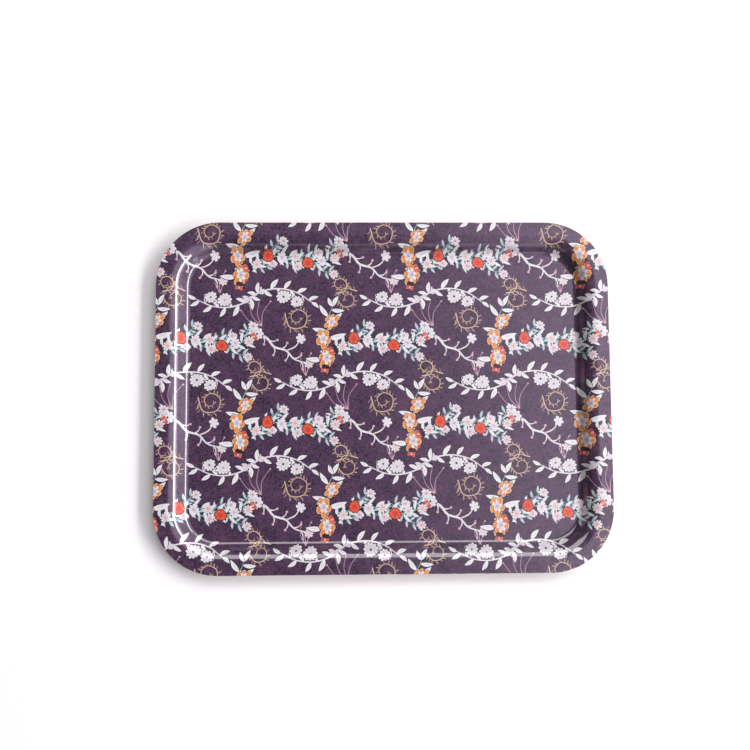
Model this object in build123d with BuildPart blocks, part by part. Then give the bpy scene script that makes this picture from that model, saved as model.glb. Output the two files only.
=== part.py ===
"""Serving tray, heat-pressed from a stack of thin sheets.

Clear melamine overlay, printed paper, kraft underlay, five birch veneers and a backing
sheet lie on one another and are pressed into one shell: a flat floor, a short sloping
wall and a lip that falls a little towards its cut edge. Millimetres, +Z up. The origin
is the middle of the underside, where the tray rests, and the long side runs along X.
"""
from build123d import *
import os
from math import cos, radians, sin, tan

# Outline of the trimmed tray, seen from above
length = 430.0
width = 332.0
corner_radius = 60.0

# Cross-section of the serving surface, from the cut edge in to the floor
lip_width = 11.0  # straight part, up to the bend
lip_fall = 2.0  # degrees that the lip drops towards its edge
lip_bend_radius = 15.0
wall_angle = 52.0  # degrees up from the floor
floor_bend_radius = 6.5
rise = 12.0  # from the serving floor to the top of the lip bend

# Sheets of the stack, from the serving side down
overlay_thickness = 0.15
print_thickness = 0.20
underlay_thickness = 0.25
veneer_thickness = 0.55
veneer_count = 5
backing_thickness = 0.25

sheets = [
    ("clear_overlay", overlay_thickness),
    ("printed_decor_sheet", print_thickness),
    ("kraft_underlay", underlay_thickness),
]
for number in range(1, veneer_count + 1):
    sheets.append((f"birch_veneer_{number}", veneer_thickness))
sheets.append(("backing_sheet", backing_thickness))

# Heights and lengths that follow from the values above
stack_thickness = sum(thickness for _, thickness in sheets)
wall = radians(wall_angle)
fall = radians(lip_fall)
bend_rise = floor_bend_radius * (1 - cos(wall)) + lip_bend_radius * (1 - cos(wall))
wall_length = (rise - bend_rise) / sin(wall)
bend_run = floor_bend_radius * sin(wall) + lip_bend_radius * (sin(wall) + sin(fall))
rim_run = bend_run + wall_length * cos(wall) + lip_width

floor_length = length - 2 * rim_run
floor_width = width - 2 * rim_run
floor_corner_radius = corner_radius - rim_run
corner_x = length / 2 - corner_radius
corner_y = width / 2 - corner_radius


def section_points(depth, start):
    """Corners of the rim's line, depth below the serving surface, from the floor out.

    Each point is (distance outward, height), and the line starts start from the axis.
    The middle point of each bend comes with its two ends, so that it can be an arc.
    """
    floor_centre = (start, stack_thickness + floor_bend_radius)
    wall_foot = (
        floor_centre[0] + floor_bend_radius * sin(wall),
        floor_centre[1] - floor_bend_radius * cos(wall),
    )
    wall_top = (
        wall_foot[0] + wall_length * cos(wall),
        wall_foot[1] + wall_length * sin(wall),
    )
    lip_centre = (
        wall_top[0] + lip_bend_radius * sin(wall),
        wall_top[1] - lip_bend_radius * cos(wall),
    )

    def floor_bend(angle):
        reach = floor_bend_radius + depth
        return (floor_centre[0] + reach * sin(angle), floor_centre[1] - reach * cos(angle))

    def lip_bend(angle):
        reach = lip_bend_radius - depth
        return (lip_centre[0] + reach * sin(angle), lip_centre[1] + reach * cos(angle))

    lip_start = lip_bend(fall)
    edge_out = start + rim_run
    edge = (edge_out, lip_start[1] - (edge_out - lip_start[0]) * tan(fall))
    return {
        "floor_end": floor_bend(0),
        "floor_bend_middle": floor_bend(wall / 2),
        "wall_foot": floor_bend(wall),
        "wall_top": lip_bend(-wall),
        "lip_bend_middle": lip_bend((fall - wall) / 2),
        "lip_start": lip_start,
        "edge": edge,
    }


def rim_section(plane, upper_depth, lower_depth, start):
    """Face of one sheet across the rim, on a plane whose X runs outward."""
    upper = section_points(upper_depth, start)
    lower = section_points(lower_depth, start)
    with BuildSketch(plane) as section:
        with BuildLine():
            for line in (upper, lower):
                ThreePointArc(line["floor_end"], line["floor_bend_middle"], line["wall_foot"])
                Line(line["wall_foot"], line["wall_top"])
                ThreePointArc(line["wall_top"], line["lip_bend_middle"], line["lip_start"])
                Line(line["lip_start"], line["edge"])
            Line(upper["edge"], lower["edge"])
            Line(upper["floor_end"], lower["floor_end"])
        make_face()
    return section.sketch


def pressed_sheet(upper_depth, lower_depth):
    """One sheet of the stack, between two depths below the serving surface."""
    end_plane = Plane(origin=(floor_length / 2, 0, 0), x_dir=(1, 0, 0), z_dir=(0, -1, 0))
    side_plane = Plane(origin=(0, floor_width / 2, 0), x_dir=(0, 1, 0), z_dir=(1, 0, 0))
    corner_plane = Plane(origin=(corner_x, corner_y, 0), x_dir=(1, 0, 0), z_dir=(0, -1, 0))
    corner_axis = Axis((corner_x, corner_y, 0), (0, 0, 1))
    with BuildPart() as sheet:
        # A quarter of the rim: half of an end, half of a side, and the corner between
        extrude(rim_section(end_plane, upper_depth, lower_depth, 0), amount=-corner_y)
        extrude(rim_section(side_plane, upper_depth, lower_depth, 0), amount=corner_x)
        corner_section = rim_section(corner_plane, upper_depth, lower_depth, floor_corner_radius)
        revolve(corner_section, axis=corner_axis, revolution_arc=90)
        mirror(about=Plane.XZ)
        mirror(about=Plane.YZ)
        # The flat floor inside it
        with BuildSketch(Plane.XY.offset(stack_thickness - lower_depth)):
            RectangleRounded(floor_length, floor_width, floor_corner_radius)
        extrude(amount=lower_depth - upper_depth)
    return sheet


os.makedirs("parts", exist_ok=True)

depth = 0.0
for name, thickness in sheets:
    sheet = pressed_sheet(depth, depth + thickness)
    sheet.part.label = name
    export_step(sheet.part, f"parts/{name}.step")
    depth += thickness

print(f"stack {stack_thickness:.2f} thick, floor {floor_length:.1f} x {floor_width:.1f}")
print(f"rim {rim_run:.1f} wide, wall {wall_length:.1f} long, floor corner {floor_corner_radius:.1f}")
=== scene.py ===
# %% [markdown]
# # A printed serving tray, pressed from paper and birch
#
# The tray is one stack of thin sheets. Five birch veneers, a brown kraft sheet, a
# printed paper and a clear melamine film were laid on one another and pressed hot in
# a mould, so that they came out as a single stiff shell with a shallow wall and a lip.
#
# The measured model of that stack is loaded first and never moved. This lesson then
# gives each sheet that shows its finish: a flowered print under a clear gloss on top,
# a sealed birch face below, and bare plies round the cut edge.

from dataclasses import dataclass
from math import atan2, cos, degrees, hypot, pi, radians, sin, tan

import bpy
import numpy as np
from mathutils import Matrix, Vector
from mathutils.geometry import delaunay_2d_cdt


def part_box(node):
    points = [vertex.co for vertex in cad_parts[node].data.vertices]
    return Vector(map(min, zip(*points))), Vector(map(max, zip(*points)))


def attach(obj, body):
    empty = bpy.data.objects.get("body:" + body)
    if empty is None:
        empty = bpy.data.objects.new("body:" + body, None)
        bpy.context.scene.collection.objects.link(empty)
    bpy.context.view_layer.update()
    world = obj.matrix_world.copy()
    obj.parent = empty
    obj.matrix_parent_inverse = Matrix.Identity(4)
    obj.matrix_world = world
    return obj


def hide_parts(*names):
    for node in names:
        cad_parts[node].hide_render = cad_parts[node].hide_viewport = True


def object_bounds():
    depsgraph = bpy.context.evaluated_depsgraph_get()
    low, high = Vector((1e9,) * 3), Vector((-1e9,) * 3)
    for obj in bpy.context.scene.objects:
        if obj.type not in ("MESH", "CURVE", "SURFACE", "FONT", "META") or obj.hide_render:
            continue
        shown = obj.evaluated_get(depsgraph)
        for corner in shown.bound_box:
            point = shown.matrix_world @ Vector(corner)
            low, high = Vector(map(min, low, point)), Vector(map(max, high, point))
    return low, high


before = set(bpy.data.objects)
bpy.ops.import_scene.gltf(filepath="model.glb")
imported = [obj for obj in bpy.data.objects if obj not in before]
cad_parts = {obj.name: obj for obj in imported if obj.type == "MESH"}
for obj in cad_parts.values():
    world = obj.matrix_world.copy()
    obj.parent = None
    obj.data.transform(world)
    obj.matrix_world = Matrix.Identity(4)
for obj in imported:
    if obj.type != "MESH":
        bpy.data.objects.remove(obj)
cad_low, cad_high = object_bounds()
print("sheets:", ", ".join(sorted(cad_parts)))

# %% [markdown]
# ## Sizes
#
# Blender works in metres, but a tray is thought of in millimetres, so the lesson keeps
# millimetres and turns them into metres at the last step. The outer sizes and the
# heights of the sheets are read from the model. The bends of the rim are a maker's
# choices, and they are repeated here from the press mould.

# %% Sizes of the tray, in millimetres
MM = 0.001

length, width, height = (cad_high - cad_low) / MM
overlay_thickness = (
    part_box("clear_overlay")[1].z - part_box("printed_decor_sheet")[1].z
) / MM
floor_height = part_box("clear_overlay")[0].z / MM + overlay_thickness
print_depth = floor_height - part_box("printed_decor_sheet")[0].z / MM
backing_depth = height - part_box("backing_sheet")[1].z / MM

corner_radius = 60.0
lip_width = 11.0
lip_fall = radians(2.0)
lip_bend_radius = 15.0
wall_angle = radians(52.0)
floor_bend_radius = 6.5
arris = 0.18  # how far sanding has rounded the sharp cut edge

print(f"tray {length:.1f} x {width:.1f} x {height:.1f} mm, floor at {floor_height:.2f} mm")
print(f"print and film {print_depth:.2f} mm thick")

# %% [markdown]
# ## The shape of the rim
#
# Going in from the cut edge, the rim is a nearly level lip, a bend, a short straight
# wall and a tighter bend into the flat floor. Every point of the tray is some distance
# in from the edge, and that distance alone gives its height and how far it leans. The
# corners are round, so the distance is measured to a rounded rectangle. One formula
# then shapes the straight sides and the corners alike, which keeps them matched.

# %% Where the rim's bends begin and end, measured in from the cut edge
rise = height - floor_height
lip_centre_in = lip_width + lip_bend_radius * sin(lip_fall)
wall_top_in = lip_centre_in + lip_bend_radius * sin(wall_angle)
bends_drop = (lip_bend_radius + floor_bend_radius) * (1 - cos(wall_angle))
wall_drop = rise - bends_drop
wall_foot_in = wall_top_in + wall_drop / tan(wall_angle)
floor_in = wall_foot_in + floor_bend_radius * sin(wall_angle)
lip_centre_height = height - lip_bend_radius
lip_start_height = lip_centre_height + lip_bend_radius * cos(lip_fall)
print(f"rim {floor_in:.1f} mm wide, wall drops {wall_drop:.1f} mm between its bends")


# %% Height and lean of the serving surface
def rim_shape(inward):
    """Height, and the outward part of the upright direction, at distances in from the edge."""
    inward = np.maximum(inward, 0.0)
    level = lip_start_height - (lip_width - inward) * tan(lip_fall)
    lip_lean = np.clip((lip_centre_in - inward) / lip_bend_radius, -1, 1)
    lip_bend = lip_centre_height + lip_bend_radius * np.sqrt(1 - lip_lean**2)
    wall_top_height = lip_centre_height + lip_bend_radius * cos(wall_angle)
    wall = wall_top_height - (inward - wall_top_in) * tan(wall_angle)
    floor_lean = np.clip((inward - floor_in) / floor_bend_radius, -1, 0)
    floor_bend = floor_height + floor_bend_radius * (1 - np.sqrt(1 - floor_lean**2))
    stretches = [
        inward < lip_width,
        inward < wall_top_in,
        inward < wall_foot_in,
        inward < floor_in,
    ]
    heights = np.select(stretches, [level, lip_bend, wall, floor_bend], floor_height)
    leans = np.select(stretches, [sin(lip_fall), lip_lean, -sin(wall_angle), floor_lean], 0.0)
    return heights, leans


def edge_distance(x, y):
    """Distance in from the rounded outline, and the direction straight out to it."""
    past_x = np.abs(x) - (length / 2 - corner_radius)
    past_y = np.abs(y) - (width / 2 - corner_radius)
    in_corner = (past_x > 0) & (past_y > 0)
    reach = np.where(in_corner, np.hypot(past_x, past_y), np.maximum(past_x, past_y))
    safe = np.maximum(reach, 1e-9)
    out_x = np.where(in_corner, past_x / safe, past_x >= past_y) * np.sign(x)
    out_y = np.where(in_corner, past_y / safe, past_x < past_y) * np.sign(y)
    return corner_radius - reach, out_x, out_y


edge_height = rim_shape(np.zeros(1))[0][0]
print(f"the top of the cut edge is {edge_height:.2f} mm above the table")

# %% [markdown]
# ## Guide lines that follow the rim
#
# A bend looks smooth only if the mesh has enough lines running along it. Each guide
# line here is the tray's outline shrunk by some distance, so the lines are close
# together on the bends and absent on the flat parts, where they would be wasted.

# %% Rounded outlines at chosen distances in from the edge
STEPS_PER_BEND = 6
STEPS_PER_CORNER = 22
SIDE_STEP = 24.0


def rounded_outline(inward):
    """The tray's outline shrunk by a distance, as points that run anticlockwise."""
    radius = corner_radius - inward
    centre_x, centre_y = length / 2 - corner_radius, width / 2 - corner_radius
    centres = [
        (centre_x, -centre_y),
        (centre_x, centre_y),
        (-centre_x, centre_y),
        (-centre_x, -centre_y),
    ]
    points = []
    for number, (cx, cy) in enumerate(centres):
        turns = np.linspace(-pi / 2, 0, STEPS_PER_CORNER + 1) + number * pi / 2
        points += [(cx + radius * cos(a), cy + radius * sin(a)) for a in turns]
        next_x, next_y = centres[(number + 1) % 4]
        side = hypot(next_x - cx, next_y - cy)
        parts = round(side / SIDE_STEP)
        end_x, end_y = points[-1]
        for part in range(1, parts):
            share = part / parts
            points.append((end_x + (next_x - cx) * share, end_y + (next_y - cy) * share))
    return np.array(points)


lip_turns = np.linspace(lip_fall, -wall_angle, STEPS_PER_BEND + 1)
floor_turns = np.linspace(-wall_angle, 0, STEPS_PER_BEND + 1)
arris_turns = np.linspace(0, pi / 2, 5)[1:]
guide_distances = [
    *(arris * (1 - cos(a)) for a in arris_turns),
    *(lip_centre_in - lip_bend_radius * sin(a) for a in lip_turns),
    *(floor_in + floor_bend_radius * sin(a) for a in floor_turns),
]
guides = [rounded_outline(distance) for distance in guide_distances]
print(len(guides), "guide lines of", len(guides[0]), "points")

# %% [markdown]
# ## Printed motifs as outlines
#
# The print is ink on flat paper. It could be an image, but an image blurs when the
# camera comes close, and this lesson draws everything itself. So each petal, leaf and
# stem is an outline that is cut into the mesh of the top sheet, and the faces inside
# it carry its ink. The line between two inks then stays as sharp as a printed one.
#
# A patch of ink has an outline, and a colour that runs from one ink to another with
# the distance from a centre, as a petal does that is blushed at its heart.


# %% Inks, and a patch of ink
def ink(red, green, blue, ground=0.0):
    """An ink in linear light, from the three display values of its swatch."""
    linear = [((v / 255 + 0.055) / 1.055) ** 2.4 for v in (red, green, blue)]
    return (*linear, ground)


PLUM = ink(66, 44, 70, ground=1.0)
SHADE = ink(38, 28, 42, ground=0.6)
CREAM = ink(232, 229, 229)
LAVENDER = ink(212, 202, 214)
ROSE = ink(198, 132, 156)
BLUSH = ink(212, 170, 182)
RED = ink(206, 60, 52)
VERMILION = ink(222, 84, 44)
CORAL = ink(222, 112, 88)
CRIMSON = ink(140, 24, 48)
ORANGE = ink(220, 118, 44)
AMBER = ink(228, 152, 76)
SAND = ink(226, 196, 160)
MIST = ink(202, 222, 222)
TEAL = ink(134, 174, 176)
PINE = ink(40, 62, 60)
GOLD = ink(184, 158, 112)
UMBER = ink(116, 92, 92)
HEATHER = ink(166, 138, 162)


@dataclass
class Patch:
    outline: np.ndarray
    centre: tuple
    reach: float
    inner: tuple
    outer: tuple


def patch(points, inner, outer=None, centre=None, reach=None):
    """A patch of ink inside points, blended from inner to outer out to reach."""
    points = np.array(points, float)
    following = np.roll(points, -1, axis=0)
    turning = points[:, 0] * following[:, 1] - points[:, 1] * following[:, 0]
    if turning.sum() < 0:
        points = points[::-1]
    middle = points.mean(axis=0) if centre is None else centre
    span = np.hypot(*(points - middle).T).max() if reach is None else reach
    return Patch(points, tuple(middle), span, inner, inner if outer is None else outer)


# %% [markdown]
# ## The small vocabulary of the print
#
# A hand-drawn floral print is made of a few strokes used again and again: a pointed
# leaf, a flower of joined lobes, a dot, and a line that thins towards its end. Each
# one is a formula with a size and a turn, so no two need to be alike.


# %% Lines, leaves, lobed flowers and dots
def turned(shape, turn, x, y):
    """A shape turned by degrees about its own origin, and moved to x, y."""
    c, s = cos(radians(turn)), sin(radians(turn))
    return np.asarray(shape) @ np.array([[c, s], [-s, c]]) + (x, y)


def flowing_line(points, steps=6):
    """A smooth line through a few chosen points."""
    points = np.array(points, float)
    first, last = 2 * points[0] - points[1], 2 * points[-1] - points[-2]
    knots = np.vstack([first, points, last])
    line = []
    for before, start, end, after in zip(knots, knots[1:], knots[2:], knots[3:]):
        for t in np.arange(steps) / steps:
            bend = (2 * before - 5 * start + 4 * end - after) * t**2
            twist = (3 * (start - end) + after - before) * t**3
            line.append((2 * start + (end - before) * t + bend + twist) / 2)
    return np.array([*line, points[-1]])


def stem(points, inks, start_width, end_width=None, steps=4):
    """A line of ink that may thin towards its end."""
    line = flowing_line(points, steps)
    ahead = np.gradient(line, axis=0)
    ahead /= np.hypot(*ahead.T)[:, None]
    side = np.column_stack([-ahead[:, 1], ahead[:, 0]])
    end_width = start_width if end_width is None else end_width
    halves = np.linspace(start_width, end_width, len(line))[:, None] / 2
    return patch(np.vstack([line - side * halves, (line + side * halves)[::-1]]), *inks)


def leaf(x, y, turn, long, wide, inks, bend=0.0, steps=6):
    """A pointed leaf whose base is at x, y, turned by degrees from +X."""
    along = np.linspace(0, 1, steps)
    half = wide / 2 * np.sin(pi * along**0.9) ** 0.85
    spine = bend * long * np.sin(pi * along)
    low = np.column_stack([along * long, spine - half])
    high = np.column_stack([along * long, spine + half])
    shape = np.vstack([low, high[-2:0:-1]])
    return patch(turned(shape, turn, x, y), *inks, centre=(x, y), reach=long)


def flower(
    x, y, size, lobes, inks, depth=0.3, notch=0.0, turn=0.0, narrow=1.0, grow=0.0, steps=4
):
    """A flower of joined lobes. narrow squeezes it across its turn, grow widens it."""
    angles = np.arange(lobes * steps) / (lobes * steps) * 2 * pi
    off_tip = np.abs((angles * lobes / (2 * pi)) % 1 * 2 - 1)
    reach = 1 - depth * off_tip**2.2 - notch * np.exp(-((off_tip / 0.2) ** 2))
    reach = reach * (1 + 0.07 * np.sin(angles * 2 + x) + 0.05 * np.sin(angles * 3 + y))
    long = (size * reach + grow) * np.cos(angles)
    wide = (size * narrow * reach + grow) * np.sin(angles)
    shape = turned(np.column_stack([long, wide]), turn, x, y)
    return patch(shape, *inks, centre=(x, y), reach=size)


def dot(x, y, radius, inks, points=5):
    """A dot of ink."""
    angles = np.arange(points) / points * 2 * pi + x
    round_shape = np.column_stack([np.cos(angles), np.sin(angles)]) * radius + (x, y)
    return patch(round_shape, *inks)


def ring_of(count, radius, x, y, turn, narrow=1.0):
    """Places spaced evenly round a centre, on a circle or a narrowed one."""
    for number in range(count):
        angle = 2 * pi * (number + 0.5) / count
        place = (radius * cos(angle), radius * narrow * sin(angle))
        yield turned(place, turn, x, y)


print(len(leaf(0, 0, 0, 10, 3, (CREAM,)).outline), "points round a leaf")
print(len(flower(0, 0, 5, 5, (CREAM,)).outline), "points round a flower of five lobes")

# %% [markdown]
# ## Flowers of the print
#
# The flowers are layered the way a printer's screens are: a dark shadow first, for the
# bold ones, then the petals, then the heart, then the smallest dots. What is listed
# later lies on top.


# %% Pale blossoms and cream rosettes
def blossom(x, y, radius, petals, turn, petal_inks, heart=(ROSE, BLUSH)):
    """A pale blossom with a blushed heart and a ring of stamens."""
    yield flower(x, y, radius, petals, petal_inks, 0.42, 0.08, turn)
    yield flower(x, y, radius * 0.42, 6, heart, 0.3, turn=turn + 20, steps=2)
    for px, py in ring_of(4, radius * 0.24, x, y, turn):
        yield dot(px, py, radius * 0.09, (CREAM,), 4)


def rosette(x, y, radius, petals, turn, heart):
    """A wide cream flower with frilled petals and a small dark heart."""
    yield flower(x, y, radius, petals, (SHADE,), 0.16, turn=turn, grow=0.75, steps=2)
    yield flower(x, y, radius, petals, (LAVENDER, CREAM), 0.3, 0.1, turn, steps=5)
    for px, py in ring_of(petals, radius * 0.56, x, y, turn):
        yield dot(px, py, radius * 0.07, (HEATHER,), 4)
    yield flower(x, y, radius * 0.3, 5, (CREAM, LAVENDER), 0.2, turn=turn, steps=2)
    yield dot(x, y, radius * 0.17, heart, 6)


print(len(list(rosette(0, 0, 7, 11, 0, (PINE,)))), "patches in a rosette")

# %% Red heads and coral buds
def red_head(x, y, radius, turn):
    """A red scalloped head, dotted like a raspberry."""
    yield flower(x, y, radius, 10, (SHADE,), 0.1, turn=turn, grow=0.7, steps=2)
    yield flower(x, y, radius, 11, (RED, VERMILION), 0.16, turn=turn, steps=3)
    for px, py in ring_of(6, radius * 0.62, x, y, turn):
        yield dot(px, py, radius * 0.1, (AMBER,), 4)
    for px, py in ring_of(3, radius * 0.26, x, y, turn):
        yield dot(px, py, radius * 0.11, (CRIMSON,), 4)


def twin_bud(x, y, size, turn):
    """Two coral buds that part from one foot."""
    yield flower(x, y, size * 1.1, 4, (SHADE,), 0.2, turn=turn, steps=3)
    yield leaf(x, y, turn + 38, size * 1.25, size * 0.9, (RED, CORAL), 0.06)
    yield leaf(x, y, turn - 38, size * 1.25, size * 0.9, (CRIMSON, CORAL), -0.06)
    yield leaf(x, y, turn, size * 0.7, size * 0.5, (ROSE, SAND), steps=5)
    first, _, _, last = ring_of(4, size * 0.72, x, y, turn + 45)
    for place in (first, last):
        yield dot(*place, size * 0.12, (SAND,), 4)


print(len(list(red_head(0, 0, 5.5, 0))), "patches in a red head")

# %% Orange blooms
def orange_bloom(x, y, size, narrow, lobes, turn):
    """A loose orange flower: a pale rim, orange lobes and a milky star inside."""
    yield flower(x, y, size, lobes, (SHADE,), 0.26, 0.0, turn, narrow, 0.6, 3)
    yield flower(x, y, size, lobes, (SAND,), 0.34, 0.0, turn, narrow)
    yield flower(x, y, size, lobes, (ORANGE, AMBER), 0.36, 0.0, turn, narrow, -0.65)
    yield flower(x, y, size * 0.66, lobes, (MIST, CREAM), 0.5, 0.12, turn + 26, narrow)
    yield flower(x, y, size * 0.36, 5, (LAVENDER, BLUSH), 0.4, 0.0, turn + 10, narrow, steps=3)
    for px, py in ring_of(lobes, size * 0.5, x, y, turn + 8, narrow):
        yield dot(px, py, size * 0.06, (ORANGE,), 4)
    for number, (px, py) in enumerate(ring_of(lobes, size * 0.74, x, y, turn + 30, narrow)):
        yield dot(px, py, size * 0.09, (VERMILION,) if number % 2 else (SAND,), 5)
    yield dot(x, y, size * 0.12, (TEAL,), 5)


print(len(list(orange_bloom(0, 0, 11, 0.72, 6, 0))), "patches in an orange bloom")

# %% [markdown]
# ## Leaves
#
# Small leaves are set along a line, first on one side and then on the other, with
# sizes that drift a little. Large ones get a shadow round them and a sliver of a
# second ink down the middle for a vein.


# %% Walk along a line, and set leaves on it
def stations(points, spacing, first=0.0):
    """Number, place and heading, in degrees, of even steps along a flowing line."""
    line = flowing_line(points, 10)
    travelled = np.concatenate([[0], np.cumsum(np.hypot(*np.diff(line, axis=0).T))])
    for number, start in enumerate(np.arange(first, travelled[-1] - 0.5, spacing)):
        here, ahead = (
            np.array([np.interp(at, travelled, column) for column in line.T])
            for at in (start, start + 0.5)
        )
        yield number, here, degrees(atan2(*(ahead - here)[::-1]))


def leaves_along(points, spacing, long, wide, inks, spread=48, first=0.0):
    """Leaves on both sides of a line in turn, as on a twig."""
    for number, place, heading in stations(points, spacing, first):
        side = 1 if number % 2 else -1
        turn = heading + side * (spread + 9 * sin(number * 2.7))
        size = long * (1 + 0.16 * sin(number * 1.9 + points[0][0]))
        yield leaf(*place, turn, size, wide, inks, 0.06 * side, steps=5)


def veined_leaf(x, y, turn, long, wide, inks, vein, bend=0.05):
    """A broad leaf with a shadow round it and a sliver of a second ink inside."""
    foot_x, foot_y = turned((-0.5, 0), turn, x, y)
    yield leaf(foot_x, foot_y, turn, long + 1.4, wide + 1.5, (SHADE,), bend, steps=5)
    yield leaf(x, y, turn, long, wide, inks, bend, steps=7)
    vein_x, vein_y = turned((0.28 * long, 0), turn, x, y)
    yield leaf(vein_x, vein_y, turn, long * 0.5, wide * 0.28, vein, bend, steps=4)


def veined_pairs(points, spacing, long, wide, first=0.0, spread=52):
    """White veined leaves in turn along a line, largest half way."""
    steps = list(stations(points, spacing, first))
    for number, place, heading in steps:
        side = 1 if number % 2 else -1
        share = 0.72 + 0.28 * sin(pi * (number + 0.5) / len(steps))
        share *= 1 + 0.12 * sin(number * 2.3)
        turn = heading + side * (spread + 8 * sin(number * 1.7))
        size = (long * share, wide * share)
        yield from veined_leaf(*place, turn, *size, (CREAM,), (LAVENDER, MIST), 0.05 * side)


print(len(list(stations([(0, 0), (40, 0)], 4.0))), "leaves on a straight twig of 40 mm")

# %% [markdown]
# ## Sprays that fill one repeat
#
# A repeat that holds only single flowers looks like wallpaper, so the motifs are
# gathered into sprays that lead the eye. Most of them follow one rule: a flowing line,
# leaves in turn along it, and flowers at wider steps. Each is drawn about its own
# origin, and then turned and moved to its place in the repeat.


# %% The garland
def garland():
    """A waving garland of blossoms and red heads, bedded in teal leaves."""
    run = [(-46, -5), (-31, 2), (-13, 4), (5, -1), (23, -5), (41, 1)]
    yield stem(run, (SHADE,), 9.0, 7.0, steps=2)
    twigs = []
    for number, place, heading in stations(run, 15.5, 5.0):
        side = 1 if number % 2 else -1
        reach = 17 + 3 * sin(number * 2.1)
        bends = [(0, 0), (reach * 0.4, side * 6.5), (reach, side * 9.5)]
        twigs.append([turned(bend, heading, *place) for bend in bends])
    for twig in twigs:
        yield from leaves_along(twig, 3.1, 7.8, 2.5, (TEAL, MIST), 58, 1.5)
        yield stem(twig, (TEAL,), 0.8, 0.5, steps=3)
    yield from leaves_along(run, 3.8, 10.6, 3.0, (MIST, CREAM), 56)
    yield stem(run, (TEAL,), 0.9, 0.6, steps=3)
    yield from twin_bud(*run[0], 4.8, 195)
    yield from twin_bud(*run[-1], 4.6, 25)
    for number, twig in enumerate(twigs):
        pale = (LAVENDER, CREAM) if number % 2 else (BLUSH, CREAM)
        yield from blossom(*twig[-1], 4.4 + number % 3 * 0.3, 8, number * 17, pale)
    for number, place, heading in stations(run, 13.0, 9.0):
        x, y = turned((0, 1.6 if number % 2 else -1.6), heading, *place)
        if number % 3 == 1:
            yield from red_head(x, y, 5.5, number * 20)
        elif number % 3 == 2:
            yield from blossom(x, y, 5.5, 9, number * 13, (LAVENDER, CREAM), (HEATHER, LAVENDER))
        else:
            yield from blossom(x, y, 5.3, 9, number * 31, (BLUSH, CREAM), (ROSE, SAND))


print(len(list(garland())), "patches in the garland")

# %% The orange spray
def orange_spray():
    """Orange blooms on both sides of a rising stem, with white leaves between."""
    rising = [(2, -34), (-3, -20), (2, -6), (-1, 10), (3, 25)]
    yield stem(rising, (SHADE,), 2.4, 1.8)
    yield stem(rising, (MIST, TEAL), 0.9, 0.6)
    yield from veined_pairs(rising, 7.2, 17.5, 5.4, 1.0, 62)
    yield from veined_leaf(*rising[-1], 68, 12, 4.2, (CREAM,), (LAVENDER, MIST))
    yield from veined_leaf(*rising[-1], 122, 10, 3.8, (CREAM,), (LAVENDER, MIST))
    for number, place, heading in stations(rising, 19.0, 9.0):
        side = 1 if number % 2 else -1
        x, y = turned((0, side * 4.4), heading, *place)
        size = 11.2 - number * 1.1
        yield from orange_bloom(x, y, size, 0.72, 6 - number % 2, heading + side * 24)
    yield from twin_bud(2, -35, 4.2, 262)


print(len(list(orange_spray())), "patches in the orange spray")

# %% The white sprig
def white_sprig(left_heart, right_heart):
    """A white sprig that bows over, with frilled rosettes under its leaves."""
    bow = [(-32, -9), (-18, -1), (-2, 2), (14, -1), (28, -9)]
    yield from veined_pairs(bow, 6.5, 12.0, 4.4, 3.0)
    yield stem(bow, (CREAM, LAVENDER), 1.6, 1.0)
    yield from veined_leaf(*bow[-1], -34, 9, 3.4, (CREAM,), (LAVENDER,))
    for turn in (205, 240, 170):
        yield leaf(*bow[0], turn, 6.5, 3.4, (CREAM, LAVENDER), 0.05)
        yield leaf(*bow[0], turn, 4.6, 1.0, (HEATHER, LAVENDER), 0.05, steps=4)
    yield from rosette(1, -5.5, 7.0, 11, 0, left_heart)
    yield from rosette(14, -9.5, 6.0, 10, 15, right_heart)


print(len(list(white_sprig((PINE,), (ROSE,)))), "patches in a white sprig")

# %% The pale branch
def pale_branch():
    """A bold pale branch that forks, with buds on its spurs and blossoms at its ends."""
    bough = [(-24, 17), (-15, 12), (-9, 3), (2, -2), (9, -11), (21, -16)]
    fork = [(2, -2), (11, 1), (17, 8)]
    yield stem(bough, (SHADE,), 4.0, 2.6)
    yield stem(fork, (SHADE,), 3.0, 2.0)
    yield stem(bough, (CREAM, LAVENDER), 2.7, 1.2)
    yield stem(fork, (CREAM, BLUSH), 1.6, 0.9)
    for number, place, heading in stations(bough, 7.5, 6.0):
        side = 1 if number % 2 else -1
        bends = [(0, 0), (3, side * 3), (4, side * 7)]
        spur = [turned(bend, heading, *place) for bend in bends]
        yield stem(spur, (CREAM, LAVENDER), 1.4, 0.6)
        yield dot(*spur[-1], 1.3, (BLUSH,), 6)
    twig = [bough[0], (-32, 20), (-39, 19)]
    yield from leaves_along(twig, 2.7, 6.0, 1.8, (LAVENDER, CREAM), 38)
    yield from blossom(*fork[-1], 5.2, 6, 10, (LAVENDER, CREAM), (LAVENDER, CREAM))
    yield from rosette(*bough[0], 6.6, 8, 20, (PINE,))
    yield from blossom(22, -17, 4.8, 7, 30, (BLUSH, CREAM), (ROSE, CREAM))


print(len(list(pale_branch())), "patches in the pale branch")

# %% Curled tendrils and fine grasses
def tendril(size, turns):
    """A gold spiral with feathery strokes on its outer side."""
    spiral = []
    for share in np.linspace(0, 1, 9):
        angle, reach = 2 * pi * turns * share, size * (1 - 0.8 * share)
        spiral.append((reach * cos(angle), reach * sin(angle)))
    for number, place, heading in stations(spiral, 3.3, 1.0):
        inks = (UMBER, SAND) if number % 3 else (UMBER, HEATHER)
        turn = heading - 48 + 16 * sin(number * 1.7)
        yield leaf(*place, turn, size * (0.52 - 0.012 * number), 1.1, inks, 0.08, steps=4)
    yield stem(spiral, (GOLD, SAND), 0.9, 0.6)


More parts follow.
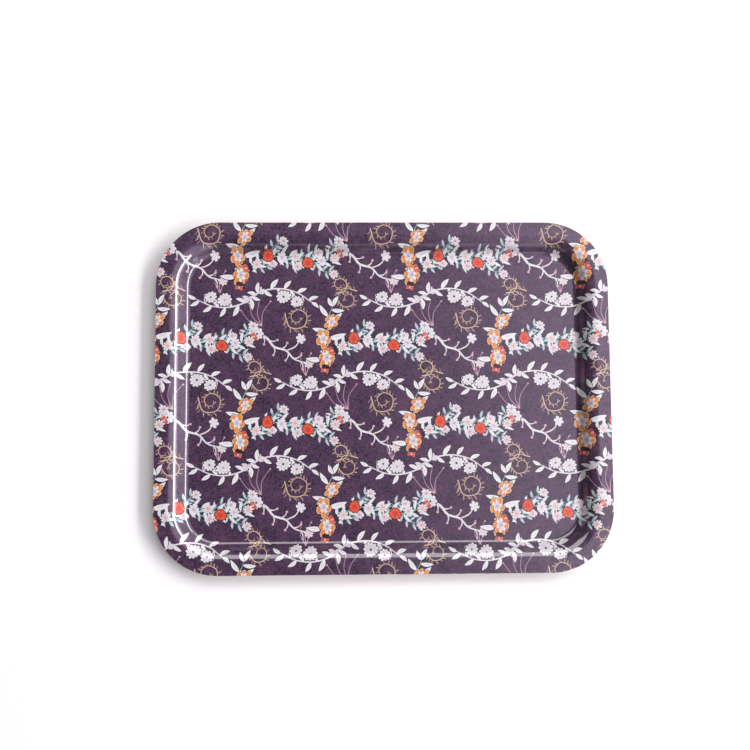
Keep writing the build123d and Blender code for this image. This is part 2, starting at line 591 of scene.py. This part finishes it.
def grass(count, long):
    """Hair-fine stalks that fan from one foot and bow over."""
    for number in range(count):
        heading = 62 + 24 * number
        bows = [(0, 0), (long * 0.5, long * 0.06), (long, -long * 0.16)]
        stalk = [turned(bow, heading, 0, 0) for bow in bows]
        yield stem(stalk, (HEATHER, BLUSH), 0.8, 0.4, steps=3)
        yield dot(*stalk[-1], 0.9, (BLUSH,))


print(len(list(tendril(12, 1.5))), "patches in a tendril")

# %% [markdown]
# ## Repeating the print
#
# Printed cloth and paper repeat in a half-drop: each column of the design starts half
# a repeat lower than the one before, which hides the seams. Two slanting steps make
# that lattice. A motif that lies wholly off the tray is left out, and one that crosses
# the edge is cut there, just as the trimming saw cuts the real paper.

# %% One repeat, and all the repeats that touch the tray
REPEAT_ACROSS = 82.0
REPEAT_DOWN = 80.0
REPEATS_EACH_WAY = 5  # more than enough to cover the tray


def moved(spray, x, y, turn):
    """The patches of a spray, turned about its origin and moved to x, y."""
    for p in spray:
        centre = tuple(turned(p.centre, turn, x, y))
        yield Patch(turned(p.outline, turn, x, y), centre, p.reach, p.inner, p.outer)


def one_repeat():
    """Every patch of ink of one repeat, lowest layer first."""
    return [
        *moved(tendril(12, 1.5), -34, -66, 40),
        *moved(tendril(13, 1.6), 0, -4, 160),
        *moved(tendril(9, 1.3), 40, 28, 250),
        *moved(grass(4, 25), -34, -12, 18),
        *moved(grass(3, 22), 8, -60, 0),
        *moved(pale_branch(), -13, -34, 6),
        *moved(white_sprig((PINE,), (CRIMSON,)), -14, 22, -4),
        *moved(white_sprig((ROSE,), (PINE,)), 14, -72, 186),
        *moved(orange_spray(), 28, -18, -6),
        *moved(garland(), -2, 53, 4),
    ]


def printed_patches(design):
    """The patches of all the repeats that reach the tray."""
    lowest = np.array([p.outline.min(axis=0) for p in design])
    highest = np.array([p.outline.max(axis=0) for p in design])
    half = np.array([length / 2, width / 2])
    steps = range(-REPEATS_EACH_WAY, REPEATS_EACH_WAY + 1)
    found = []
    for first in steps:
        for second in steps:
            shift = np.array(
                [REPEAT_ACROSS * (first - second), -REPEAT_DOWN * (first + second)]
            )
            touching = np.all((highest + shift > -half) & (lowest + shift < half), axis=1)
            for number in np.flatnonzero(touching):
                p = design[number]
                centre = (p.centre[0] + shift[0], p.centre[1] + shift[1])
                found.append(Patch(p.outline + shift, centre, p.reach, p.inner, p.outer))
    return found


repeat = one_repeat()
patches = printed_patches(repeat)
print(len(repeat), "patches in a repeat,", len(patches), "on the tray")

# %% [markdown]
# ## Cutting the outlines into a sheet
#
# A constrained triangulation takes outlines that may overlap and fills them with
# triangles that never cross a line. It also says which outlines hold each triangle,
# and the last one listed is the ink on top. The same tool fills the plain sheets,
# which have only the guide lines.


# %% Fill an outline with triangles
ONLY_INSIDE = 1  # leave out the triangles that lie in no outline
MERGE_DISTANCE = 1e-3  # millimetres: corners closer than this become one


def fill(outline, lines, outlines=()):
    """Flat points, triangles, and the number of the topmost outline at each triangle."""
    points, edges, faces = [], [], []
    for ring in lines:
        around = list(range(len(points), len(points) + len(ring)))
        points += [Vector(p) for p in ring]
        edges += list(zip(around, around[1:] + around[:1]))
    for ring in (outline, *outlines):
        faces.append(list(range(len(points), len(points) + len(ring))))
        points += [Vector(p) for p in ring]
    made = delaunay_2d_cdt(points, edges, faces, ONLY_INSIDE, MERGE_DISTANCE, True)
    flat = np.array([p[:] for p in made[0]])
    inside = [(corners, held) for corners, held in zip(made[2], made[5]) if 0 in held]
    topmost = np.array([max(held) for _, held in inside])
    used, triangles = np.unique([corners for corners, _ in inside], return_inverse=True)
    return flat[used], triangles.reshape(-1, 3), topmost


def border_of(triangles):
    """The points round the outside of a fill, in order."""
    sides = np.vstack([triangles[:, [0, 1]], triangles[:, [1, 2]], triangles[:, [2, 0]]])
    known = set(map(tuple, sides.tolist()))
    following = {a: b for a, b in known if (b, a) not in known}
    start = next(iter(following))
    ring, at = [start], following[start]
    while at != start:
        ring.append(at)
        at = following[at]
    return ring


# %% [markdown]
# ## Pressing the flat sheet into the mould
#
# The filled sheet is still flat. Pressing it looks up the rim's height under every
# point, and moves the point along the surface's own upright direction by the sheet's
# depth in the stack, so that a sheet keeps its thickness round the bends.


# %% Press flat points to their place in the stack
AT_EDGE = 1e-3  # millimetres: points nearer than this lie on the cut edge


def press(flat, depth, rounded_edge):
    """Points at a depth below the serving surface, with their upright directions.

    rounded_edge is the arris radius: above nothing for a top edge, below for a bottom one.
    """
    x, y = flat[:, 0], flat[:, 1]
    inward, out_x, out_y = edge_distance(x, y)
    inward = np.maximum(inward, 0.0)
    z, lean = rim_shape(inward)
    upright = np.sqrt(1 - lean**2)
    at_edge = inward < AT_EDGE
    slide = np.where(at_edge, 0.0, lean * depth)
    drop = np.where(at_edge, depth / cos(lip_fall), upright * depth)
    normals = np.column_stack([out_x * lean, out_y * lean, upright])
    placed = np.column_stack([x - out_x * slide, y - out_y * slide, z - drop])
    if rounded_edge:
        way = 1 if rounded_edge > 0 else -1
        size = abs(rounded_edge)
        near = inward < size
        across = np.clip(1 - inward / size, 0, 1)
        placed[:, 2] -= np.where(near, way * size * (1 - np.sqrt(1 - across**2)), 0)
        tilt = np.where(near, across, 0)
        normals[:, 0] = np.where(near, out_x * tilt, normals[:, 0])
        normals[:, 1] = np.where(near, out_y * tilt, normals[:, 1])
        normals[:, 2] = np.where(near, np.sqrt(1 - tilt**2), normals[:, 2])
    return placed, normals


floor_middle = press(np.zeros((1, 2)), 0.0, 0.0)[0][0]
print(f"the middle of the floor is pressed to {floor_middle[2]:.2f} mm")

# %% Close two pressed faces into one thin sheet
def pressed_sheet(name, upper_depth, lower_depth, outlines=(), round_top=False):
    """A closed sheet between two depths. The rounded arris is at its top or its bottom."""
    flat, triangles, topmost = fill(rounded_outline(0), guides, outlines)
    ring = border_of(triangles)
    under_flat, under_triangles, _ = fill(flat[ring], guides)
    under_ring = border_of(under_triangles)
    under_of = {tuple(np.round(under_flat[i], 4)): i for i in under_ring}
    top, top_up = press(flat, upper_depth, arris if round_top else 0)
    under, under_up = press(under_flat, lower_depth, 0 if round_top else -arris)
    mesh = bpy.data.meshes.new(name)
    count = len(top)
    lower = [count + under_of[tuple(np.round(flat[i], 4))] for i in ring]
    band = []
    for a, b, c, d in zip(ring, ring[1:] + ring[:1], lower[1:] + lower[:1], lower):
        band += [(a, d, c), (a, c, b)]
    faces = np.vstack([triangles, under_triangles[:, ::-1] + count, np.array(band)])
    points = np.vstack([top, under])
    mesh.vertices.add(len(points))
    mesh.vertices.foreach_set("co", (points * MM).astype(np.float32).ravel())
    mesh.loops.add(faces.size)
    mesh.loops.foreach_set("vertex_index", faces.astype(np.int32).ravel())
    mesh.polygons.add(len(faces))
    mesh.polygons.foreach_set("loop_start", np.arange(0, faces.size, 3, dtype=np.int32))
    mesh.update(calc_edges=True)
    upright = np.vstack([top_up, -under_up])[faces]
    _, out_x, out_y = edge_distance(points[:, 0], points[:, 1])
    sideways = np.column_stack([out_x, out_y, np.zeros(len(points))])
    upright[-len(band):] = sideways[faces[-len(band):]]
    mesh.polygons.foreach_set("use_smooth", np.ones(len(faces), bool))
    mesh.normals_split_custom_set(upright.reshape(-1, 3))
    piece = bpy.data.objects.new(name, mesh)
    bpy.context.scene.collection.objects.link(piece)
    return piece, points, faces, topmost


# %% [markdown]
# ## The printed surface
#
# The printed paper and the clear film over it cannot be told apart once pressed, so
# they are one piece. Its faces carry the inks as a colour at every corner, and a map
# that lays the sheet out flat goes with it, for tools that need one.


# %% Ink the corners of the printed sheet
def ink_corners(mesh, points, faces, topmost):
    """Write each face's ink at its corners, blended by distance as its patch says."""
    layers = [Patch(guides[0], (0, 0), 1.0, PLUM, PLUM), *patches]
    which = np.zeros(len(faces), int)
    which[: len(topmost)] = topmost
    centres = np.array([p.centre for p in layers])[which]
    reaches = np.array([p.reach for p in layers])[which]
    inner = np.array([p.inner for p in layers])[which]
    outer = np.array([p.outer for p in layers])[which]
    corners = points[faces][:, :, :2]
    away = np.hypot(*np.moveaxis(corners - centres[:, None], 2, 0)) / reaches[:, None]
    share = np.clip(away, 0, 1)[:, :, None]
    colours = inner[:, None] * (1 - share) + outer[:, None] * share
    layer = mesh.color_attributes.new("print_ink", "FLOAT_COLOR", "CORNER")
    layer.data.foreach_set("color", colours.astype(np.float32).ravel())


HIDDEN_STRIP = (0.79, 0.25)  # where the hidden face's strip of the map starts, and its share
MAP_MARGIN = 0.004


def lay_out_flat(mesh, points, faces, top_count, facing_up=True):
    """A flat map: the face that shows fills most of it, the hidden face a strip."""
    place = points[faces][:, :, :2] / length + 0.5
    place[:, :, 1] = (points[faces][:, :, 1] + width / 2) / length
    shown = np.zeros(len(faces), bool)
    shown[:top_count] = facing_up
    shown[top_count:] = not facing_up
    strip_start, strip_share = HIDDEN_STRIP
    place[~shown, :, 1] = strip_start + place[~shown, :, 1] * strip_share
    place = MAP_MARGIN + place * (1 - 2 * MAP_MARGIN)
    flat_map = mesh.uv_layers.new(name="OFBake")
    flat_map.data.foreach_set("uv", place.astype(np.float32).ravel())


# %% Build the printed surface
printed_surface, sheet_points, sheet_faces, sheet_inks = pressed_sheet(
    "printed_surface", 0.0, print_depth, [p.outline for p in patches], round_top=True
)
ink_corners(printed_surface.data, sheet_points, sheet_faces, sheet_inks)
lay_out_flat(printed_surface.data, sheet_points, sheet_faces, len(sheet_inks))
print("printed surface:", len(sheet_faces), "faces")

# %% Build the sealed underside
stack_depth = floor_height
sealed_underside, back_points, back_faces, back_top = pressed_sheet(
    "sealed_underside", backing_depth, stack_depth
)
lay_out_flat(sealed_underside.data, back_points, back_faces, len(back_top), facing_up=False)
print("sealed underside:", len(back_faces), "faces")

# %% [markdown]
# ## Writing finishes as sums
#
# A finish is a small web of nodes. Drawn by hand it is easy to lose the thread, so a
# socket is wrapped in a class whose plus, minus and times signs add the Math nodes,
# and the finish then reads like the sum that it is.


# %% A socket that can be added, multiplied and blended
class Socket:
    """One output in a finish. Arithmetic on it adds Math nodes."""

    def __init__(self, finish, output):
        self.finish = finish
        self.output = output

    def math(self, operation, *values):
        return self.finish.node("Math", {"operation": operation}, dict(enumerate(values)))

    def __add__(self, other):
        return self.math("ADD", self, other)

    def __sub__(self, other):
        return self.math("SUBTRACT", self, other)

    def __rsub__(self, other):
        return self.math("SUBTRACT", other, self)

    def __mul__(self, other):
        return self.math("MULTIPLY", self, other)

    __radd__ = __add__
    __rmul__ = __mul__

    def clamped(self):
        """This value kept between nothing and one."""
        return self.finish.node("Clamp", {}, {"Value": self})

    def step(self, low, high):
        """Nothing below low, one above high, and smooth between."""
        settings = {"interpolation_type": "SMOOTHSTEP"}
        return self.finish.node("MapRange", settings, {"Value": self, 1: low, 2: high})


class Finish:
    """The nodes of one material, or of the room's light, built up one by one."""

    def __init__(self, owner):
        self.owner = owner
        self.owner.use_nodes = True
        self.tree = owner.node_tree
        self.tree.nodes.clear()

    def node(self, kind, settings, sockets, output=0):
        """Add a node: its settings first, then the values or links of its sockets."""
        made = self.tree.nodes.new("ShaderNode" + kind)
        for name, value in settings.items():
            setattr(made, name, value)
        for name, value in sockets.items():
            if isinstance(value, Socket):
                self.tree.links.new(value.output, made.inputs[name])
            else:
                made.inputs[name].default_value = value
        return Socket(self, made.outputs[output]) if made.outputs else None

    def place(self, stretch):
        """The place on the object, in metres, multiplied along each axis."""
        where = self.node("TexCoord", {}, {}, "Object")
        sockets = {0: where, 1: stretch}
        return self.node("VectorMath", {"operation": "MULTIPLY"}, sockets)

    def noise(self, stretch, detail=2.0, roughness=0.5):
        """Soft noise with the given number of blots to the metre along each axis."""
        sockets = {"Vector": self.place(stretch), "Scale": 1.0}
        return self.node("TexNoise", {}, {**sockets, "Detail": detail, "Roughness": roughness})

    def blend(self, share, first, second, how="MIX"):
        """Two colours mixed by a share."""
        settings = {"data_type": "RGBA", "blend_type": how}
        return self.node("Mix", settings, {0: share, 6: first, 7: second}, 2)

    def bump(self, relief, millimetres):
        """A fine relief of the given depth."""
        sockets = {"Height": relief, "Strength": 1.0, "Distance": millimetres * MM}
        return self.node("Bump", {}, sockets, "Normal")

    def surface(self, **sockets):
        """Close the finish with a Principled shader, and give back the material."""
        named = {name.replace("_", " "): value for name, value in sockets.items()}
        shader = self.node("BsdfPrincipled", {}, named)
        self.node("OutputMaterial", {}, {"Surface": shader})
        return self.owner


def grey(value):
    """A plain colour with the same value in all three parts."""
    return (value, value, value, 1.0)


# %% [markdown]
# ## The printed and clear-coated finish
#
# Two things make the print look like one: the ink sinks into a woven-looking paper,
# so the plum ground is mottled with threads of lighter and darker dye, and above it
# lies a clear hard film that mirrors the lamps softly. The film is a coat on the
# shader. The mottle is stretched noise, once along the tray and once across it, as
# threads are.


# %% Print under a clear film
THREADS = 820  # to the metre, counted across them
SLUBS = 260  # thick and thin places to the metre along a thread
THREAD_DEPTH = 300


def printed_finish():
    finish = Finish(bpy.data.materials.new("printed_paper_under_film"))
    inks = finish.node("Attribute", {"attribute_name": "print_ink"}, {}, "Color")
    ground = finish.node("Attribute", {"attribute_name": "print_ink"}, {}, "Alpha")
    warp = finish.noise((THREADS, SLUBS, THREAD_DEPTH), 2.0, 0.7)
    weft = finish.noise((SLUBS, THREADS, THREAD_DEPTH), 2.0, 0.7)
    cloud = finish.noise((70, 70, 70), 3.0, 0.6)
    threads = (warp + weft - 1.0) * 3.0
    tone = 0.88 + (threads * 0.8 + (cloud - 0.5) * 0.6) * (0.12 + ground * 1.1)
    mottle = finish.node("CombineColor", {}, {0: tone, 1: tone, 2: tone})
    mottled = finish.blend(1.0, inks, mottle, "MULTIPLY")
    dye = ((cloud - 0.42) * 3.0).clamped() * ground * 0.35
    coloured = finish.blend(dye, mottled, ink(96, 62, 84))
    wave = finish.noise((55, 55, 55), 1.0)
    grain = finish.noise((900, 900, 900), 2.0)
    relief = finish.bump(wave + grain * 0.02, 0.03)
    return finish.surface(
        Base_Color=coloured,
        Roughness=0.44 + grain * 0.08,
        Specular_IOR_Level=0.3,
        Specular_Tint=(0.95, 0.8, 1.0, 1.0),
        Normal=relief,
        Coat_Weight=1.0,
        Coat_Roughness=0.09,
        Coat_IOR=1.95,
    )


# %% [markdown]
# ## Birch and kraft
#
# Wood grain is long along the log and fine across it, so stretched noise is a fair
# picture of it. Because the noise fills space, a ply whose grain runs with the tray
# shows streaks on the long sides and open pores on the short ones, and a cross ply
# the other way round, just as a cut edge of plywood does.


# %% Bare and sealed birch, and brown kraft
def birch_finish(name, pale, dark, along_x=True, sealed=False):
    finish = Finish(bpy.data.materials.new(name))
    along, across = 18, 900
    stretch = (along, across, across) if along_x else (across, along, across)
    wide = (4, 60, 60) if along_x else (60, 4, 60)
    fibre = finish.noise(stretch, 4.0, 0.65)
    flame = finish.noise(wide, 3.0, 0.55)
    streaks = (fibre * 0.65 + flame * 0.55).step(0.38, 0.78)
    flecks = fibre.step(0.64, 0.74)
    wood = finish.blend(streaks, pale, dark)
    wood = finish.blend(flecks * 0.35, wood, ink(96, 66, 44))
    relief = finish.bump(fibre, 0.012 if sealed else 0.05)
    coat = {"Coat_Weight": 0.7, "Coat_Roughness": 0.25, "Coat_IOR": 1.5} if sealed else {}
    return finish.surface(
        Base_Color=wood,
        Roughness=(0.42 if sealed else 0.62) + fibre * 0.15,
        Normal=relief,
        **coat,
    )


def kraft_finish():
    finish = Finish(bpy.data.materials.new("brown_kraft"))
    pulp = finish.noise((1400, 1400, 1400), 3.0, 0.7)
    paper = finish.blend(pulp.step(0.3, 0.7), ink(120, 84, 54), ink(84, 56, 36))
    relief = finish.bump(pulp, 0.02)
    return finish.surface(Base_Color=paper, Roughness=0.6 + pulp * 0.2, Normal=relief)


# %% Put each finish on its sheet
long_grain = birch_finish("birch_long_grain", ink(226, 200, 160), ink(200, 164, 118))
cross_grain = birch_finish(
    "birch_cross_grain", ink(196, 160, 116), ink(164, 124, 84), along_x=False
)
sealed_birch = birch_finish("sealed_birch", ink(214, 180, 132), ink(184, 142, 94), sealed=True)
kraft = kraft_finish()
print_finish = printed_finish()


def dress(piece, material):
    """Give every material slot of a piece this finish."""
    if not piece.material_slots:
        piece.data.materials.append(material)
    for entry in piece.material_slots:
        entry.material = material


dress(printed_surface, print_finish)
dress(sealed_underside, sealed_birch)
dress(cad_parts["kraft_underlay"], kraft)
veneers = sorted(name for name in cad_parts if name.startswith("birch_veneer"))
for number, name in enumerate(veneers):
    dress(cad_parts[name], cross_grain if number % 2 else long_grain)
print(len(veneers), "veneers finished")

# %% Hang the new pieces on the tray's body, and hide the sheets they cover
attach(printed_surface, "root")
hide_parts("clear_overlay", "printed_decor_sheet")
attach(sealed_underside, "root")
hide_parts("backing_sheet")

# %% [markdown]
# ## A table, soft lamps and a camera
#
# The tray lies on a pale table. A long, narrow softbox half way up on the right makes
# the thin bright lines along the left bends, and throws the rim's shadow to the left.
# A fainter lamp just below it softens that shadow's edge. One lamp beyond the far side
# lights the near wall, and a very weak one on the near side lights the far wall. The
# room itself is brighter on the right, which greys the gloss on that half of the tray.
# The camera hangs nearly a metre up, almost straight over the tray.


# %% Table, room light and lamps
TABLE_RADIUS = 2600.0
TABLE_SIDES = 96
TABLE_GAP = 0.05  # keeps the table's face from touching the tray's
LAMP_DISTANCE = 3.0  # metres from the tray


def table():
    finish = Finish(bpy.data.materials.new("pale_table"))
    fleck = finish.noise((160, 160, 160), 2.0)
    chalk = finish.blend(fleck, grey(0.86), grey(0.9))
    material = finish.surface(Base_Color=chalk, Roughness=0.9, Specular_IOR_Level=0.1)
    mesh = bpy.data.meshes.new("table")
    around = np.arange(TABLE_SIDES) / TABLE_SIDES * 2 * pi
    rim = np.column_stack([np.cos(around), np.sin(around), 0 * around]) * TABLE_RADIUS * MM
    mesh.from_pydata(rim.tolist(), [], [list(range(TABLE_SIDES))])
    mesh.materials.append(material)
    top = bpy.data.objects.new("table", mesh)
    top.location.z = -TABLE_GAP * MM
    bpy.context.scene.collection.objects.link(top)


def room_light(dim, bright):
    """Dim light from the left half of the room, and soft violet light from the right."""
    world = bpy.data.worlds.new("room")
    room = Finish(world)
    towards = room.node("TexCoord", {}, {}, "Generated")
    rightward = room.node("SeparateXYZ", {}, {0: towards}, "X")
    sky = room.blend(rightward.step(-0.02, 0.3), dim, bright)
    backdrop = room.node("Background", {}, {"Color": sky, "Strength": 1.0})
    room.node("OutputWorld", {}, {"Surface": backdrop})
    bpy.context.scene.world = world


def softbox(name, compass, elevation, wide, tall, brightness):
    """A lamp of wide by tall metres, aimed at the tray. compass turns from +X towards +Y."""
    light = bpy.data.lights.new(name, "AREA")
    light.shape = "RECTANGLE"
    light.size, light.size_y = wide, tall
    light.energy = brightness * wide * tall * pi
    lamp = bpy.data.objects.new(name, light)
    away = Vector(
        (
            cos(radians(compass)) * cos(radians(elevation)),
            sin(radians(compass)) * cos(radians(elevation)),
            sin(radians(elevation)),
        )
    )
    lamp.location = away * LAMP_DISTANCE
    lamp.rotation_euler = away.to_track_quat("Z", "Y").to_euler()
    bpy.context.scene.collection.objects.link(lamp)


table()
room_light((0.06, 0.056, 0.06, 1), (0.92, 0.84, 0.97, 1))
softbox("key", compass=0, elevation=43.5, wide=4.0, tall=0.5, brightness=12.5)
softbox("key_skirt", compass=0, elevation=32, wide=4.0, tall=0.6, brightness=3.2)
softbox("far_fill", compass=90, elevation=52, wide=3.0, tall=1.6, brightness=2.9)
softbox("near_fill", compass=-90, elevation=25, wide=3.0, tall=1.2, brightness=0.35)
print(len(bpy.data.lights), "lamps round a table of", TABLE_RADIUS * 2, "mm")

# %% Camera
camera_data = bpy.data.cameras.new("camera")
camera_data.lens = 48.0
camera_data.sensor_width = 36.0
camera = bpy.data.objects.new("camera", camera_data)
camera.location = Vector((-35.1, -67.9, 953.6)) * MM
camera.rotation_euler = (radians(5.33), radians(-1.59), radians(-0.377))
bpy.context.scene.collection.objects.link(camera)
bpy.context.scene.camera = camera
bpy.context.scene.view_settings.view_transform = "Standard"
print(f"camera {camera.location.z / MM:.0f} mm above the table")
